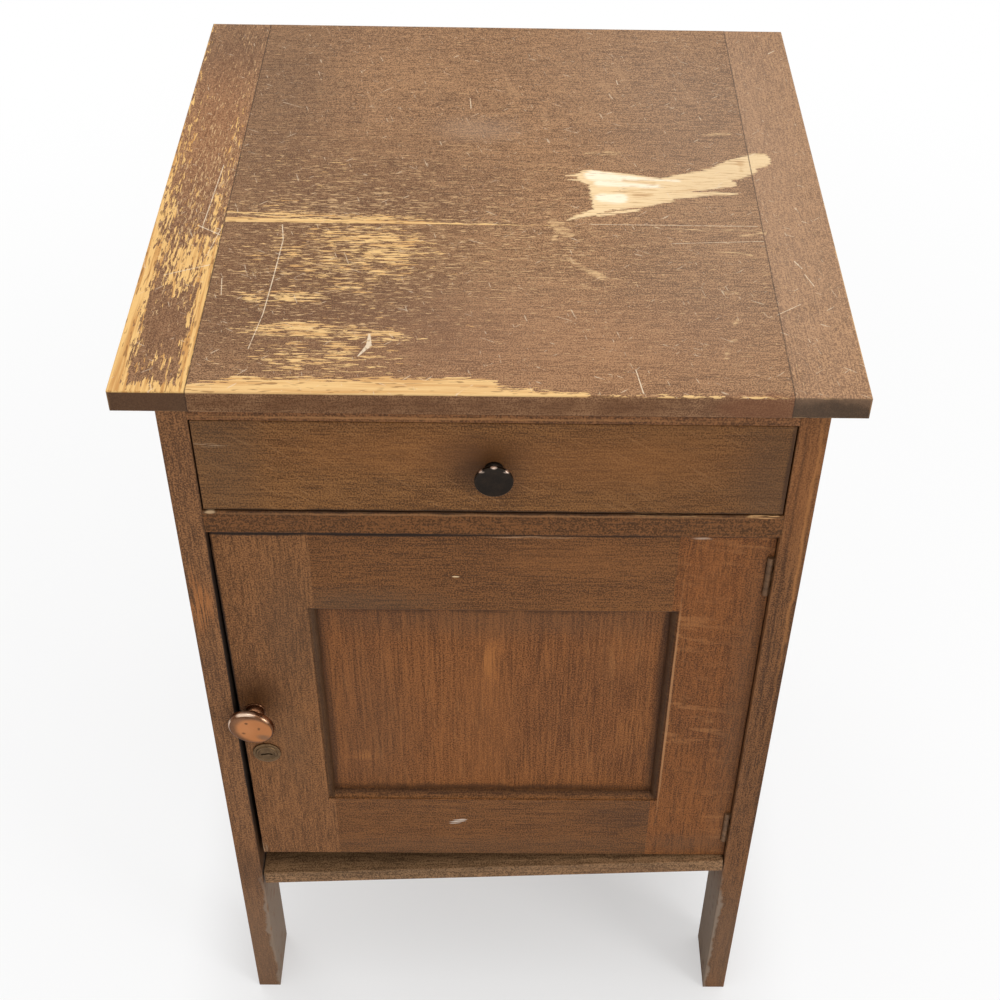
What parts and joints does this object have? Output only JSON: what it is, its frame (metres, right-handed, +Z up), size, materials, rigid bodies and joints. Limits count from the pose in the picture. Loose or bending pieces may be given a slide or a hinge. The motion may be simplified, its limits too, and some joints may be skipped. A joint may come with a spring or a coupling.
{
  "type": "record cabinet",
  "caption": "Small old oak cabinet on square feet with an overhanging boarded top, a drawer and a framed and panelled door with a round knob and a key lock.",
  "frame": {"origin": "on the floor, under the middle of the top, which is the middle of the whole outline", "axes": "+Z up, the front with the door faces -Y, +X to the right as seen from the front"},
  "size_m": [0.46, 0.468, 0.7],
  "materials": {
    "oak_top": "old waxed oak, worn pale in places",
    "oak_case": "dark fumed oak",
    "oak_front": "dark fumed oak, waxed",
    "oak_inner": "unfinished oak",
    "bronze": "worn and darkened",
    "black_iron": "blackened, worn at its edge",
    "old_brass": "tarnished",
    "steel": "dulled"
  },
  "bodies": {
    "carcase": {"top_board_front": "oak_top", "top_board_middle": "oak_top", "top_board_back": "oak_top", "top_end_left": "oak_top", "top_end_right": "oak_top", "front_post_left": "oak_case", "front_post_right": "oak_case", "back_post_left": "oak_case", "back_post_right": "oak_case", "side_top_rail_left": "oak_case", "side_top_rail_right": "oak_case", "side_bottom_rail_left": "oak_case", "side_bottom_rail_right": "oak_case", "side_panel_left": "oak_case", "side_panel_right": "oak_case", "top_front_rail": "oak_case", "drawer_rail": "oak_case", "back_top_rail": "oak_case", "back_bottom_rail": "oak_case", "bottom_board": "oak_case", "back_board_left": "oak_inner", "back_board_middle": "oak_inner", "back_board_right": "oak_inner", "bearer_left": "oak_inner", "bearer_right": "oak_inner", "runner_left": "oak_inner", "runner_right": "oak_inner", "kicker_left": "oak_inner", "kicker_right": "oak_inner", "drawer_stops": "oak_inner", "door_stop": "oak_inner", "hinge_leaves_post": "old_brass", "hinge_pins": "old_brass", "hinge_screws_post": "old_brass", "top_screws": "steel", "bearer_screws": "steel", "back_nails": "steel"},
    "drawer": {"drawer_front": "oak_front", "drawer_side_left": "oak_inner", "drawer_side_right": "oak_inner", "drawer_back": "oak_inner", "drawer_bottom": "oak_inner", "drawer_knob": "black_iron", "drawer_knob_nut": "old_brass"},
    "door": {"lock_stile": "oak_front", "hinge_stile": "oak_front", "door_top_rail": "oak_front", "door_bottom_rail": "oak_front", "door_panel": "oak_front", "door_knob": "bronze", "door_knob_rose": "bronze", "door_knob_nut": "old_brass", "lock_body": "old_brass", "lock_nut": "old_brass", "hinge_leaves_door": "old_brass", "hinge_screws_door": "old_brass"},
    "lock": {"lock_plug": "old_brass", "lock_cam": "old_brass", "lock_cam_screw": "old_brass"}
  },
  "joints": [
    {"name": "drawer_slide", "type": "slide", "parent": "carcase", "child": "drawer", "axis": [0, -1, 0], "range_m": [0, 0.26]},
    {"name": "door_swing", "type": "hinge", "parent": "carcase", "child": "door", "pos_m": [0.1893, -0.214, 0.382], "axis": [0, 0, 1], "range_deg": [0, 95]},
    {"name": "lock_turn", "type": "hinge", "parent": "door", "child": "lock", "pos_m": [-0.1702, -0.195, 0.33], "axis": [0, 1, 0], "range_deg": [0, 90]}
  ]
}
